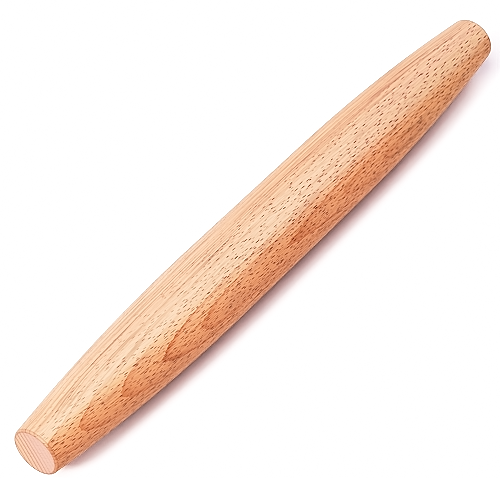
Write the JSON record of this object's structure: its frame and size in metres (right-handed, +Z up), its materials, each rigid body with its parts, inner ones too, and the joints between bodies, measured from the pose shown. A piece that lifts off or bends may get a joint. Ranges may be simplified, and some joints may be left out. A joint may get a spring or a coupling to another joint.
{
  "type": "french rolling pin",
  "caption": "Handleless wooden rolling pin: a straight barrel that tapers in a long, shallow arc to a smaller flat end on each side.",
  "frame": {"origin": "middle of the pin, on the line that it was turned about", "axes": "+X along the turning line, +Y to the side, +Z up as the pin lies on a table"},
  "size_m": [0.4, 0.0452, 0.0452],
  "materials": {
    "beech": "fine-sanded, lightly oiled, matt to soft satin"
  },
  "bodies": {
    "root": {"rolling_pin": "beech"}
  },
  "joints": []
}
